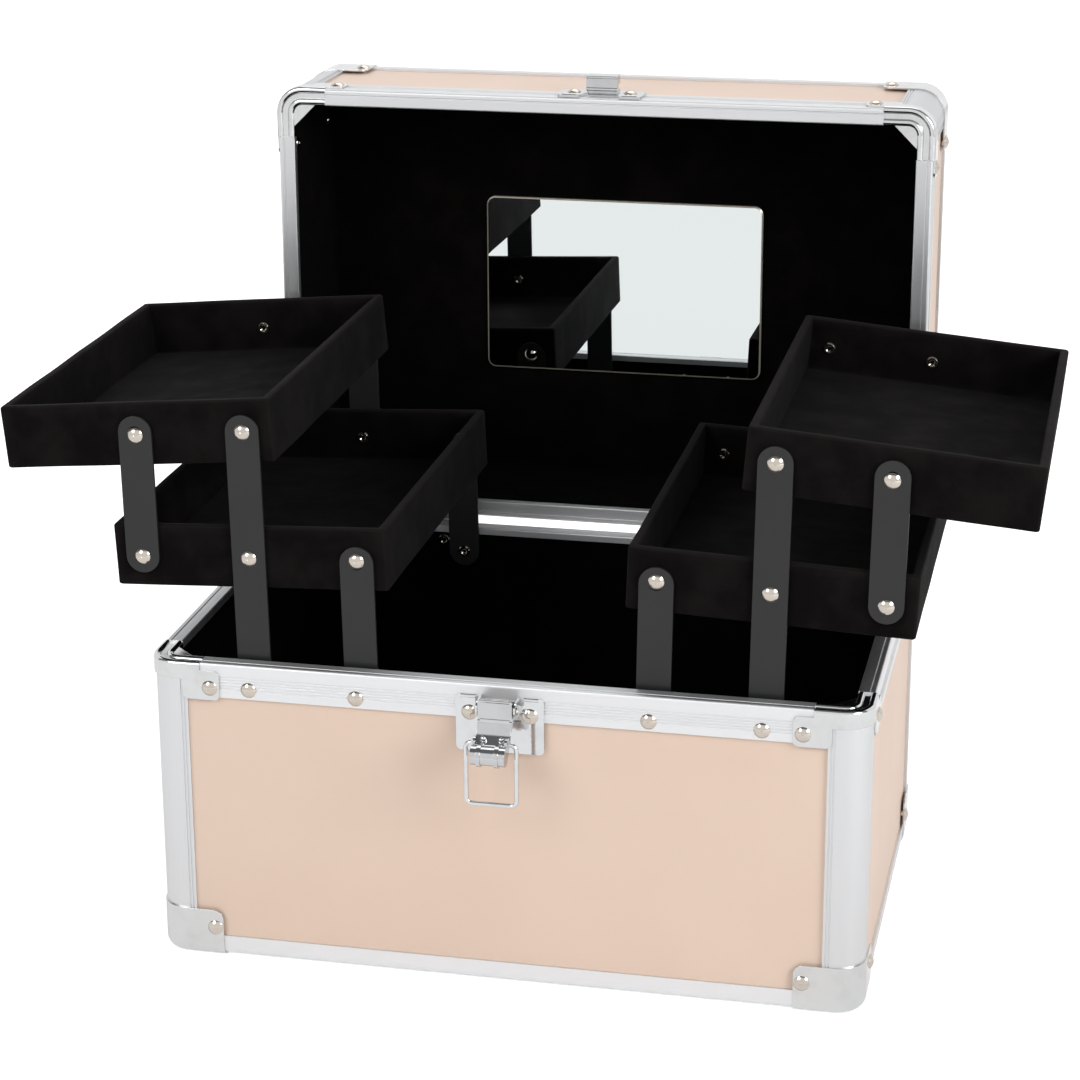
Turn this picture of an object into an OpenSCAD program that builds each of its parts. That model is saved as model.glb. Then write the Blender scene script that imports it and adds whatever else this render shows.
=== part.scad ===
// Vanity box with a mirror in its lid and four trays on swinging arms.
// Origin: centre of the footprint, on the surface the box stands on. The front faces -Y.
// The lid is drawn shut in its own modules and then swung open about the hinge pins.

/* [Case] */
// Width over the metal profiles
case_w = 360; // [330:1:440]
// Depth over the metal profiles
case_d = 240; // [200:1:290]
// Height of the base, from the surface it stands on to the top of its rim
base_h = 161; // [130:1:200]
// Height of the lid, from its rim to its top
lid_h = 87; // [82:1:110]
// Gap between the two rims when the lid is shut
rim_gap = 0.6; // [0.4:0.1:1.5]
// Opening angle of the lid
lid_open = 90.5; // [88:0.5:100]

/* [Walls] */
// Thickness of the laminated boards
board_t = 5; // [4:0.5:7]
// Thickness of the black lining
lining_t = 1.5; // [1:0.1:2.5]
// Wall of the aluminium profiles, also how far the boards lie inside them
sheet_t = 1.5; // [1:0.1:2]
// Wall of the profiles' inner lips
lip_t = 1.2; // [0.8:0.1:1.6]

/* [Corner posts] */
// Width of a post on each face of the case
post_leg = 20; // [17:1:26]
// Outer radius of a post
post_r = 14; // [11:1:15]
// Depth of the fine grooves along the profiles
groove_d = 0.35; // [0.2:0.05:0.5]

/* [Edge and rim profiles] */
// Height and width of the rails along the bottom edges
edge_leg = 11; // [8:1:14]
// Outer radius of those rails
edge_r = 5; // [3:0.5:6]
// Height of the rim rail on the outside
rim_h = 18; // [15:1:24]
// Thickness of the rim rail's top
rim_top_t = 2; // [1.5:0.1:3]
// Height of the rim rail's inner lip
rim_lip_h = 4; // [3:0.5:8]
// Radius of the rim rail's outer edge
rim_edge_r = 1.4; // [0.5:0.1:1.4]
// Radius of the rim rail's inner edge
rim_inner_r = 0.8; // [0.3:0.1:1]
// Distance of the fine line on the rim's face from the outside
rim_line_in = 3.2; // [2.5:0.1:5]
// Number of fine grooves in the rim rail
rim_grooves = 5; // [3:1:6]
// Distance between two grooves
groove_pitch = 1.5; // [1.2:0.1:2]

/* [Corner fittings] */
// Thickness of the corner caps
cap_t = 0.8; // [0.6:0.1:1.2]
// Length of a cap along each edge
cap_leg = 34; // [32:1:40]
// Height of a cap
cap_h = 26; // [22:1:32]
// Thickness of the rim corners
ear_t = 1; // [0.8:0.1:1.5]
// Length of a rim corner along each wall
rim_corner_leg = 27; // [24:1:30]
// Height of the band that wraps the corner
band_h = 9; // [7:0.5:12]
// Width of a riveted ear
ear_w = 19; // [16:1:22]
// Height of a riveted ear
ear_h = 15.5; // [13:0.5:18]
// Radius of the two beads along the top of a rim corner
bead_r = 1.9; // [1.5:0.1:2.2]
// How far the beads stand above the plate between them
bead_rise = 1.2; // [0.8:0.1:1.4]

/* [Rivets] */
// Radius of a rivet's head
head_r = 4; // [3.8:0.1:5]
// Height of a rivet's head
head_h = 1.8; // [1.2:0.1:2]
// Radius of a rivet's shank
shank_r = 1.8; // [1.5:0.1:2]
// Distance of the base's rim rivets from its rim
rim_rivet_drop = 13; // [11.5:0.1:14]
// Distance of the lid's rim rivets from its rim
lid_rivet_drop = 9; // [8.5:0.1:14]
// Height of the corner caps' rivets, from the closed end of the shell
cap_rivet_z = 16.4; // [13:0.1:20]

/* [Arms] */
// Distance between the pivots of an arm
arm_l = 65; // [60:0.5:72]
// Width of an arm
arm_w = 17; // [14:0.5:20]
// Thickness of an arm
arm_t = 1.6; // [1.2:0.1:2]
// Room between the rim's inner lip and the arms, for the rivet heads
arm_room = 2.5; // [2.3:0.1:4]
// Lean of the open arms, outwards from upright
open_lean = 1; // [0:0.5:4]
// Lean of the folded arms, inwards from upright
shut_lean = 58; // [56:0.5:60]
// Droop of the open lower trays, from the play in their rivets
lower_droop = 2.5; // [0:0.1:3]
// Droop of the open upper trays
upper_droop = 5; // [0:0.1:5.4]

/* [Trays] */
// Width of a tray
tray_w = 140; // [120:1:146]
// Height of a tray
tray_h = 32; // [24:1:33]
// Thickness of a tray's walls
tray_wall = 4.5; // [3:0.5:6]
// Thickness of a tray's floor
tray_floor = 4; // [3:0.5:6]
// Distance between neighbouring rivets on a tray
tray_pitch = 55; // [48:0.5:58]
// Thickness of the glue between a tray's boards
glue_t = 0.04; // [0.02:0.01:0.1]
// Half the gap between the left and the right trays when they are folded
half_gap = 3; // [1:0.5:10]

/* [Mirror] */
// Width of the mirror
mirror_w = 160; // [120:1:200]
// Height of the mirror
mirror_h = 101; // [80:1:130]
// Thickness of the glass
mirror_t = 3; // [2:0.5:4]
// Radius of the mirror's corners
mirror_r = 5; // [2:0.5:12]
// How far the mirror sits from the lid's middle towards the hinges
mirror_shift = 2; // [-10:1:20]

/* [Hinges] */
// Width of a hinge
hinge_w = 42; // [30:1:60]
// Height of a hinge leaf
leaf_h = 15; // [12:1:18]
// Thickness of a hinge leaf
leaf_t = 1.2; // [1:0.1:1.5]
// Radius of the knuckles
knuckle_r = 2.2; // [2:0.1:2.6]
// Radius of the hinge pins
pin_r = 1; // [0.8:0.1:1.2]
// Distance of each hinge from the middle of the case
hinge_x = 100; // [80:1:130]

/* [Latch] */
// Width of the latch plate
latch_w = 44; // [40:1:50]
// Height of the latch plate
latch_h = 29.5; // [29:0.5:40]
// Thickness of the latch plate
latch_t = 1.5; // [1:0.1:2]
// Distance of each latch rivet from the middle
latch_rivet_x = 15.2; // [14.5:0.1:17]
// Distance of the latch rivets from the rim
latch_drop = 14.5; // [13:0.1:17]
// Width of the lever
lever_w = 17; // [14:0.5:17.4]
// Thickness of the lever's sheet
lever_t = 1.2; // [1:0.1:1.5]
// Distance of the lever's pin from the case
lever_out = 7.5; // [7:0.5:10]
// Radius of the lever's pin
lever_pin_r = 1.4; // [1.2:0.1:1.6]
// Radius of the lever's dished tongue
dish_r = 12.4; // [10:0.2:13]
// Radius of the rolled end of the lever
roll_r = 4.8; // [4.5:0.1:6]
// Radius of the wire bail
wire_r = 1.15; // [0.9:0.05:1.3]
// Width between the middles of the bail's legs
bail_w = 25; // [23.8:0.1:27]
// Length of the bail, from its pivot to the middle of its cross wire
bail_l = 32; // [30:1:40]

/* [Handle] */
// Distance between the handle's pivots
handle_span = 126; // [100:1:160]
// Length of the handle from its pivots to the middle of the grip
handle_reach = 32; // [26:1:40]
// Height of the pivots above the lid
handle_rise = 11.5; // [11.5:0.5:16]
// Radius of the handle's rod
rod_r = 2.6; // [2:0.1:3.5]
// Largest radius of the grip
grip_r = 9.5; // [7:0.5:10]
// Length of the grip
grip_l = 92; // [60:1:98]

/* [Fits] */
// Clearance of a pivot in its hole, on the radius
run_fit = 0.05; // [0.02:0.01:0.1]
// Gap between flat faces that slide past each other
slide_gap = 0.3; // [0.2:0.05:0.6]
// Play of the tray rivets in the short arms' far holes
link_play = 1.5; // [1.4:0.05:1.8]

/* [Hidden] */
$fn = 64;
half_w = case_w / 2;
half_d = case_d / 2;
wall_t = sheet_t + board_t + lining_t;
rim_w = wall_t + lip_t;
board_end = post_r;
board_z = cap_t + sheet_t;
wall_z = cap_t + edge_r;
floor_top = board_z + board_t;
groove_w = groove_pitch / 2;
bead_top = 0.2;
ear_rise = 1.4;
web_t = 1;
hole_r = shank_r + run_fit;
cap_r = edge_r + cap_t;
cap_rivet_in = cap_leg - 4.3;
ear_end = rim_corner_leg + 10;
ear_start = ear_end - ear_w;
ear_rivet_in = ear_end - 5;
arm_face = rim_w + arm_room;
tray_face = arm_face + arm_t + slide_gap;
tray_d = case_d - 2 * tray_face;
arm_z = base_h - rim_rivet_drop;
arm_x = half_gap + tray_w / 2 + arm_l * sin(shut_lean);
link_x = arm_x - tray_pitch;
lower_link_l = arm_l + tray_pitch * sin(lower_droop) / 2;
upper_link_l = arm_l - tray_pitch * (sin(upper_droop) - sin(lower_droop)) / 2;
play_r = shank_r + link_play;
lower_tray_at = [arm_x + arm_l * sin(open_lean), arm_z + arm_l * cos(open_lean)];
upper_pivot_at = [arm_x + 2 * arm_l * sin(open_lean), arm_z + 2 * arm_l * cos(open_lean)];
link_foot_at = lower_tray_at + tray_pitch * [cos(lower_droop), -sin(lower_droop)];
lower_rivets = [-tray_pitch, 0, tray_pitch];
upper_rivets = [-tray_pitch, 0];
hinge_out = knuckle_r + 0.3;
hinge_y = half_d + hinge_out;
hinge_z = base_h + rim_gap / 2;
lid_bottom = base_h + rim_gap;
knuckle_end_l = hinge_w * 0.29;
latch_z = base_h - latch_drop;
lever_z = latch_z + 5;
ear_gap = 0.4;
cheek_t = 1;
block_out = 4.6;
block_up = 6;
dish_at = [lever_out + 17.5, lever_z - 3];
roll_at = [lever_out + 18, lever_z - 17];
bail_at = [lever_out + 13, lever_z - 12.5];
hem_r = 1;
rib_x = 4.4;
rib_t = 2;
rib_rise = 0.8;

// Colours
laminate = [0.89, 0.80, 0.73];
satin = [0.84, 0.85, 0.87];
polished = [0.72, 0.74, 0.77];
nickel = [0.80, 0.77, 0.72];
velvet = [0.07, 0.065, 0.065];
arm_black = [0.22, 0.22, 0.23];

// Placement helpers

// Draws the front left corner's piece at all four corners
module at_corners() {
    for (mx = [0, 1], my = [0, 1])
        mirror([mx, 0, 0]) mirror([0, my, 0]) translate([-half_w, -half_d, 0]) children();
}

// Draws a left piece again on the right
module on_sides() {
    for (mx = [0, 1]) mirror([mx, 0, 0]) children();
}

// Draws a front piece again at the back
module front_and_back() {
    for (my = [0, 1]) mirror([0, my, 0]) children();
}

// Carries a section along X: its first axis points into the case, its second up
module along_x(length) {
    rotate([90, 0, 90]) linear_extrude(length) children();
}

// Swaps X and Y, for the leg of a corner piece on the other wall
module other_leg() {
    mirror([1, -1, 0]) children();
}

// Turns a shell drawn with its closed end down into the open lid
module in_lid() {
    translate([0, hinge_y, hinge_z]) rotate([-lid_open, 0, 0]) translate([0, -hinge_y, -hinge_z])
        translate([0, 0, lid_bottom + lid_h]) mirror([0, 0, 1]) children();
}

// Plain shapes

module corner_square(size, r) {
    difference() {
        square(size);
        difference() {
            square(r);
            translate([r, r]) circle(r);
        }
    }
}

// An angle section with a rounded outer corner at the origin
module angle_section(leg, r, t) {
    difference() {
        corner_square(leg, r);
        translate([t, t]) corner_square(leg, r - t);
    }
}

// A rectangle from the origin with four rounded corners
module rounded(w, h, r) {
    translate([r, 0]) square([w - 2 * r, h]);
    translate([0, r]) square([w, h - 2 * r]);
    for (x = [r, w - r], y = [r, h - r]) translate([x, y]) circle(r);
}

// Domed head above z = 0 and a shank below it
module rivet(length) {
    dome_r = (head_r * head_r + head_h * head_h) / (2 * head_h);
    rotate_extrude() union() {
        intersection() {
            translate([0, head_h - dome_r]) circle(dome_r);
            square([head_r, head_h]);
        }
        translate([0, -length]) square([shank_r, length + head_h / 2]);
    }
}

// Rolled ring at the far end of a tubular rivet, its seat at z = 0 and the ring below it
module ring_end() {
    rotate_extrude() polygon([[shank_r - 0.7, 0], [shank_r + 1.5, 0], [shank_r + 1.5, -0.4],
        [shank_r + 1, -1], [shank_r, -1], [shank_r - 0.7, -0.4]]);
}

// A rivet in the front wall, its head seated lift outside the profiles, its far end at depth
module wall_rivet(lift, depth) {
    translate([0, -half_d - lift, 0]) rotate([90, 0, 0]) rivet(lift + depth);
    translate([0, depth - half_d, 0]) rotate([90, 0, 0]) ring_end();
}

// Cutter for a rivet through the front wall
module wall_hole(r = hole_r) {
    translate([0, 2 * wall_t - half_d, 0]) rotate([90, 0, 0]) cylinder(r = r, h = 4 * wall_t);
}

// Shells of the base and the lid, both drawn with the closed end down and the rim at z = h

module post_section() {
    inner = sheet_t + board_t;
    difference() {
        angle_section(post_leg, post_r, sheet_t);
        for (i = [0, 1]) {
            translate([post_leg - 2 - i * groove_pitch, -1]) square([groove_w, 1 + groove_d]);
            translate([-1, post_leg - 2 - i * groove_pitch]) square([1 + groove_d, groove_w]);
        }
    }
    difference() {
        translate([inner, inner]) square(post_leg - inner);
        translate([inner + lip_t, inner + lip_t]) square(post_leg);
    }
    translate([board_end - lip_t, sheet_t / 2]) square([lip_t, board_t + sheet_t]);
    translate([sheet_t / 2, board_end - lip_t]) square([board_t + sheet_t, lip_t]);
}

module shell_posts(h) {
    at_corners() translate([0, 0, floor_top]) linear_extrude(h - rim_top_t - floor_top) post_section();
}

module edge_section() {
    translate([0, cap_t]) angle_section(edge_leg, edge_r, sheet_t);
}

// Fills the rounded corner of a profile whose top is at 0, its side at the origin
module quarter_disc(r) {
    intersection() {
        translate([r, -r]) circle(r);
        translate([0, -r]) square(r);
    }
}

module rim_section() {
    difference() {
        union() {
            polygon([[0, -rim_h], [0, -rim_edge_r], [rim_edge_r, 0], [rim_w - rim_inner_r, 0],
                [rim_w, -rim_inner_r], [rim_w, -rim_lip_h], [wall_t, -rim_lip_h],
                [wall_t, -rim_top_t], [sheet_t, -rim_top_t], [sheet_t, -rim_h]]);
            quarter_disc(rim_edge_r);
            translate([rim_w, 0]) mirror([1, 0]) quarter_disc(rim_inner_r);
        }
        translate([rim_line_in, 0]) circle(groove_d);
        for (i = [0 : rim_grooves - 1])
            translate([-1, -rim_h / 2 - (i - 1) * groove_pitch]) square([1 + groove_d, groove_w]);
    }
}

// Four straight rails that stop short of the corners
module straight_rails(stop) {
    front_and_back() translate([stop - half_w, -half_d, 0]) along_x(case_w - 2 * stop) children();
    on_sides() translate([-half_w, half_d - stop, 0]) rotate([0, 0, -90])
        along_x(case_d - 2 * stop) children();
}

// Rivet holes of a shell of height h, its rim rivets drop away from the rim
module shell_holes(h, drop) {
    for (leg = [0, 1])
        at_corners() mirror([leg, -leg, 0]) translate([0, half_d, 0]) {
            translate([cap_rivet_in, 0, cap_rivet_z]) wall_hole();
            translate([ear_rivet_in, 0, h - drop]) wall_hole();
        }
}

module shell_rivets(h, drop) {
    for (leg = [0, 1])
        at_corners() mirror([leg, -leg, 0]) translate([0, half_d, 0]) {
            translate([cap_rivet_in, 0, cap_rivet_z]) wall_rivet(cap_t, wall_t);
            translate([ear_rivet_in, 0, h - drop]) wall_rivet(ear_t, wall_t);
        }
}

module shell_rim_rails(h, drop) {
    difference() {
        translate([0, 0, h]) straight_rails(rim_corner_leg) rim_section();
        shell_holes(h, drop);
    }
}

module shell_edge_rails() {
    straight_rails(post_leg) edge_section();
}

// Front board of a shell
module front_board(h, drop) {
    difference() {
        translate([board_end - half_w, sheet_t - half_d, wall_z])
            cube([case_w - 2 * board_end, board_t, h - rim_top_t - wall_z]);
        shell_holes(h, drop);
    }
}

// Left board of a shell
module left_board(h, drop) {
    difference() {
        translate([sheet_t - half_w, board_end - half_d, wall_z])
            cube([board_t, case_d - 2 * board_end, h - rim_top_t - wall_z]);
        shell_holes(h, drop);
    }
}

module floor_board() {
    edge = sheet_t + board_t;
    translate([edge - half_w, edge - half_d, board_z]) cube([case_w - 2 * edge, case_d - 2 * edge, board_t]);
}

// Sheets of lining between the posts' inner lips
module shell_lining(h, drop) {
    inner = sheet_t + board_t;
    bottom = floor_top + lining_t;
    difference() {
        union() {
            front_and_back() translate([post_leg - half_w, inner - half_d, bottom - lining_t])
                cube([case_w - 2 * post_leg, lining_t, h - rim_top_t - floor_top]);
            on_sides() translate([inner - half_w, post_leg - half_d, bottom - lining_t])
                cube([lining_t, case_d - 2 * post_leg, h - rim_top_t - floor_top]);
            translate([post_leg - half_w, inner - half_d, floor_top])
                cube([case_w - 2 * post_leg, case_d - 2 * inner, lining_t]);
            translate([inner - half_w, post_leg - half_d, floor_top])
                cube([case_w - 2 * inner, case_d - 2 * post_leg, lining_t]);
        }
        shell_holes(h, drop);
    }
}

// Corner cap: a sheet wrapped round three faces, rounded along its edges
module cap_section(inner) {
    difference() {
        translate([-cap_t, 0]) corner_square(cap_h, cap_r);
        translate([0, cap_t]) corner_square(cap_h, edge_r);
        translate([inner, -1]) square(2 * cap_h);
    }
}

module cap_leg_piece() {
    difference() {
        translate([post_r, 0, 0]) along_x(cap_leg - post_r) cap_section(edge_r);
        translate([cap_leg - 5, 1, cap_h - 5]) rotate([90, 0, 0]) linear_extrude(3) difference() {
            square(6);
            circle(5);
        }
        translate([cap_rivet_in, half_d, cap_rivet_z]) wall_hole();
    }
}

module corner_cap() {
    cap_leg_piece();
    other_leg() cap_leg_piece();
    translate([post_r, post_r, 0]) rotate([0, 0, 180]) rotate_extrude(angle = 90)
        translate([post_r, 0]) mirror([1, 0]) cap_section(post_r);
    linear_extrude(cap_t) polygon([[post_r, edge_r], [cap_leg, edge_r], [cap_leg, post_r],
        [post_r, cap_leg], [edge_r, cap_leg], [edge_r, post_r], [post_r, post_r]]);
}

// Rim corner: a channel bent round the corner, with a rolled bead along each upper edge
module rim_corner_section() {
    plate_top = bead_top - bead_rise;
    bead_z = bead_top - bead_r;
    translate([-ear_t, -band_h]) square([ear_t, band_h + bead_z]);
    translate([wall_t, -rim_lip_h]) square([lip_t, rim_lip_h + bead_z]);
    translate([bead_r - ear_t, -rim_top_t]) square([rim_w + ear_t - 2 * bead_r, rim_top_t + plate_top]);
    intersection() {
        union() {
            translate([bead_r - ear_t, bead_z]) circle(bead_r);
            translate([rim_w - bead_r, bead_z]) circle(bead_r);
        }
        translate([-ear_t, -rim_top_t]) square([rim_w + ear_t, rim_top_t + bead_top]);
    }
}

module rim_corner_leg_piece(drop) {
    translate([post_r, 0, 0]) along_x(rim_corner_leg - post_r) rim_corner_section();
    ear_low = drop + ear_h / 2 - ear_rise;
    difference() {
        translate([ear_start, 0, -ear_low]) rotate([90, 0, 0])
            linear_extrude(ear_t) rounded(ear_w, min(ear_h, ear_low - 2), 3);
        translate([ear_rivet_in, half_d, -drop]) wall_hole();
    }
}

module rim_corner(drop) {
    rim_corner_leg_piece(drop);
    other_leg() rim_corner_leg_piece(drop);
    translate([post_r, post_r, 0]) rotate([0, 0, 180]) rotate_extrude(angle = 90)
        translate([post_r, 0]) mirror([1, 0]) rim_corner_section();
    // web across the inner corner
    translate([rim_w - lip_t / 2, rim_w - lip_t / 2, -rim_top_t]) linear_extrude(web_t)
        polygon([[0, 0], [rim_corner_leg - post_r, 0], [0, rim_corner_leg - post_r]]);
}

module shell_rim_corners(h, drop) {
    translate([0, 0, h]) at_corners() rim_corner(drop);
}

// Holes for the arms' rim rivets, in the front and back walls of the base
module arm_holes() {
    front_and_back() on_sides() for (x = [-arm_x, -link_x]) translate([x, 0, arm_z]) wall_hole();
}

module latch_holes() {
    on_sides() translate([-latch_rivet_x, 0, latch_z]) wall_hole();
}

// Base

module base_bottom_panel() color(laminate) floor_board();

module base_front_panel() color(laminate) difference() {
    front_board(base_h, rim_rivet_drop);
    arm_holes();
    latch_holes();
}

module base_back_panel() color(laminate) difference() {
    mirror([0, 1, 0]) front_board(base_h, rim_rivet_drop);
    arm_holes();
    hinge_holes();
}

module base_left_panel() color(laminate) left_board(base_h, rim_rivet_drop);

module base_right_panel() color(laminate) mirror([1, 0, 0]) left_board(base_h, rim_rivet_drop);

module base_lining() color(velvet) difference() {
    shell_lining(base_h, rim_rivet_drop);
    arm_holes();
    latch_holes();
    hinge_holes();
}

module base_corner_posts() color(satin) shell_posts(base_h);

module base_edge_rails() color(satin) shell_edge_rails();

module base_rim_rails() color(satin) difference() {
    shell_rim_rails(base_h, rim_rivet_drop);
    arm_holes();
    latch_holes();
    hinge_holes();
}

module base_rim_corners() color(polished) shell_rim_corners(base_h, rim_rivet_drop);

module base_corner_caps() color(polished) at_corners() corner_cap();

module base_rivets() color(nickel) {
    shell_rivets(base_h, rim_rivet_drop);
    hinge_rivets();
}

// Rivets that carry the arms, each with a collar that holds the arm off the lining
module rim_pivot_rivets() color(nickel)
    front_and_back() on_sides() for (x = [-arm_x, -link_x]) translate([x, 0, arm_z]) {
        wall_rivet(0, arm_face + arm_t + slide_gap / 2);
        translate([0, arm_face - slide_gap / 2 - half_d, 0]) rotate([90, 0, 0])
            cylinder(r = head_r, h = arm_face - slide_gap / 2 - wall_t);
    }

// Draw latch on the front of the base

// A flat piece that stands across the latch, drawn as distance from the case and height
module across_latch(x, t) {
    translate([x - t / 2, -half_d, 0]) mirror([0, 1, 0]) rotate([90, 0, 90]) linear_extrude(t) children();
}

module latch_plate() color(polished) {
    top = latch_z + 9.5;
    notch_w = lever_w + 7;
    difference() {
        union() {
            translate([-latch_w / 2, -half_d, top - latch_h]) rotate([90, 0, 0])
                linear_extrude(latch_t) rounded(latch_w, latch_h, 2.5);
            // folded lower edge, which reaches back to the board
            translate([3 - latch_w / 2, -half_d, top - latch_h + 1]) cube([latch_w - 6, sheet_t, 1.2]);
        }
        translate([-notch_w / 2, -half_d - latch_t - 1, top - 4]) cube([notch_w, latch_t + 2, 5]);
        latch_holes();
    }
    // hem along the top of each shoulder
    on_sides() translate([notch_w / 2, -half_d - latch_t + 0.4, top - hem_r]) rotate([0, 90, 0])
        cylinder(r = hem_r, h = (latch_w - notch_w) / 2 - 2.5);
    // ears that hold the lever's pin
    for (side = [-1, 1]) across_latch(side * (lever_w / 2 + ear_gap + cheek_t / 2), cheek_t) difference() {
        union() {
            translate([latch_t / 2, lever_z - 4]) square([lever_out - latch_t / 2, 8]);
            translate([lever_out, lever_z]) circle(4);
        }
        translate([lever_out, lever_z]) circle(lever_pin_r + run_fit);
    }
}

module latch_rivets() color(nickel) on_sides() translate([-latch_rivet_x, 0, latch_z])
    wall_rivet(latch_t, wall_t);

module latch_pin() color(nickel) {
    end = lever_w / 2 + ear_gap + cheek_t;
    translate([-end - 0.1, -half_d - lever_out, lever_z]) rotate([0, 90, 0])
        cylinder(r = lever_pin_r, h = 2 * end + 0.2);
    for (side = [0, 1]) mirror([side, 0, 0])
        translate([end + 0.1, -half_d - lever_out, lever_z]) rotate([0, 90, 0])
            cylinder(r = lever_pin_r + 0.7, h = 0.4);
}

// Cheek of the lever, from the pin past the bail's pivot to the rolled end
module lever_side() {
    front = lever_out + block_out;
    difference() {
        union() {
            difference() {
                polygon([[lever_out, lever_z + 4], [front, lever_z + block_up], [front, lever_z - 4],
                    roll_at + [1, 6], roll_at, roll_at - [3, 4], [lever_out, lever_z - 4]]);
                translate(dish_at) circle(dish_r);
            }
            translate([lever_out, lever_z]) circle(4.6);
            translate(bail_at) circle(3.2);
            translate(roll_at) circle(roll_r);
        }
        translate([lever_out, lever_z]) circle(lever_pin_r + run_fit);
        translate(bail_at) circle(wire_r + run_fit);
    }
}

// Middle of the lever: a block in front of the pin, a dished tongue and a rolled end
module lever_tongue() {
    front = lever_out + block_out;
    translate([front - lever_t, lever_z - 4]) square([lever_t, block_up + 3.5]);
    for (y = [lever_z - 4, lever_z + block_up - 0.5])
        translate([front - lever_t / 2, y]) circle(lever_t / 2 + 0.25);
    intersection() {
        translate(dish_at) difference() {
            circle(dish_r + lever_t);
            circle(dish_r);
        }
        translate([front - lever_t / 2, roll_at[1] - 2])
            square([roll_at[0] - front - roll_r + 3, lever_z - roll_at[1] - 1.5]);
    }
    translate(roll_at) difference() {
        circle(roll_r);
        circle(roll_r - lever_t);
    }
}

module latch_lever() color(polished) {
    for (side = [-1, 1]) across_latch(side * (lever_w - lever_t) / 2, lever_t) lever_side();
    across_latch(0, lever_w - 2 * lever_t) lever_tongue();
    // two pressed ribs round the rolled end, each with a ball at its upper end in the dish
    ball_r = 1.7;
    ball_at = dish_at + (dish_r - ball_r / 2) * [cos(228), sin(228)];
    for (x = [-rib_x, rib_x]) {
        across_latch(x, rib_t) translate(roll_at) difference() {
            circle(roll_r + rib_rise);
            circle(roll_r - rib_rise / 2);
        }
        across_latch(x, rib_t) intersection() {
            translate(dish_at) difference() {
                circle(dish_r + rib_rise / 2);
                circle(dish_r - rib_rise);
            }
            translate([ball_at[0], roll_at[1]]) square([roll_at[0] - ball_at[0], ball_at[1] - roll_at[1]]);
        }
        translate([x, -half_d - ball_at[0], ball_at[1]]) sphere(ball_r);
    }
}

// Wire bail that hangs from the lever
module latch_bail() color(polished) {
    bend = 3;
    leg_x = bail_w / 2;
    inner_end = lever_w / 2 - lever_t + run_fit;
    translate([0, -half_d - bail_at[0], bail_at[1]]) {
        on_sides() {
            translate([inner_end, 0, 0]) rotate([0, 90, 0]) cylinder(r = wire_r, h = leg_x - bend - inner_end);
            translate([leg_x - bend, 0, -bend]) rotate([90, 0, 0]) rotate_extrude(angle = 90)
                translate([bend, 0]) circle(wire_r);
            translate([leg_x, 0, bend - bail_l]) cylinder(r = wire_r, h = bail_l - 2 * bend);
            translate([leg_x - bend, 0, bend - bail_l]) rotate([90, 90, 0]) rotate_extrude(angle = 90)
                translate([bend, 0]) circle(wire_r);
        }
        translate([bend - leg_x, 0, -bail_l]) rotate([0, 90, 0]) cylinder(r = wire_r, h = bail_w - 2 * bend);
    }
}

// Hinges, drawn shut: the base's leaves below the pins and the lid's above them

module at_hinges() {
    for (x = [-hinge_x, hinge_x]) translate([x, 0, 0]) children();
}

// Rivets of one leaf, drawn at the height drop below the pin
module at_leaf_rivets(drop) {
    at_hinges() for (x = [-hinge_w / 3, hinge_w / 3])
        translate([x, 0, hinge_z - drop]) mirror([0, 1, 0]) children();
}

leaf_rivet_drop = 9;

module hinge_holes() at_leaf_rivets(leaf_rivet_drop) wall_hole();

module hinge_rivets() at_leaf_rivets(leaf_rivet_drop) wall_rivet(leaf_t, wall_t);

// A leaf below the pin, with knuckles over the given stretches
module hinge_leaf(stretches) {
    clear = knuckle_r + 0.5;
    difference() {
        union() {
            translate([-hinge_w / 2, half_d, hinge_z - leaf_h]) cube([hinge_w, leaf_t, leaf_h - clear]);
            for (s = stretches) {
                translate([s[0], hinge_y, hinge_z]) rotate([0, 90, 0])
                    cylinder(r = knuckle_r, h = s[1] - s[0]);
                translate([s[0], half_d, hinge_z - clear - 0.1]) cube([s[1] - s[0], leaf_t, clear + 0.1]);
            }
        }
        translate([-hinge_w, hinge_y, hinge_z]) rotate([0, 90, 0])
            cylinder(r = pin_r + run_fit, h = 2 * hinge_w);
        for (x = [-hinge_w / 3, hinge_w / 3]) translate([x, half_d - 1, hinge_z - leaf_rivet_drop])
            rotate([-90, 0, 0]) cylinder(r = hole_r, h = leaf_t + 2);
    }
}

module hinge_base_leaves() color(satin) at_hinges() hinge_leaf([
    [-hinge_w / 2, -hinge_w / 2 + knuckle_end_l],
    [hinge_w / 2 - knuckle_end_l, hinge_w / 2]]);

module hinge_pins() color(nickel) at_hinges() {
    translate([-hinge_w / 2 - 0.6, hinge_y, hinge_z]) rotate([0, 90, 0]) cylinder(r = pin_r, h = hinge_w + 1.2);
    for (side = [0, 1]) mirror([side, 0, 0])
        translate([hinge_w / 2 + 0.1, hinge_y, hinge_z]) rotate([0, 90, 0]) cylinder(r = knuckle_r - 0.3, h = 0.9);
}

// Swings a shut lid piece, drawn where it is when shut, to where it is when open
module swing_open() {
    translate([0, hinge_y, hinge_z]) rotate([-lid_open, 0, 0]) translate([0, -hinge_y, -hinge_z]) children();
}

// Tab that bears on the base's leaf when the lid is open, so that the lid stands by itself
module stop_tab() {
    tab_w = hinge_w - 2 * knuckle_end_l - 4;
    tab_h = 7;
    translate([-tab_w / 2, half_d + leaf_t + run_fit, hinge_z - tab_h])
        cube([tab_w, leaf_t, tab_h - pin_r - 3 * run_fit]);
}

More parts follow.
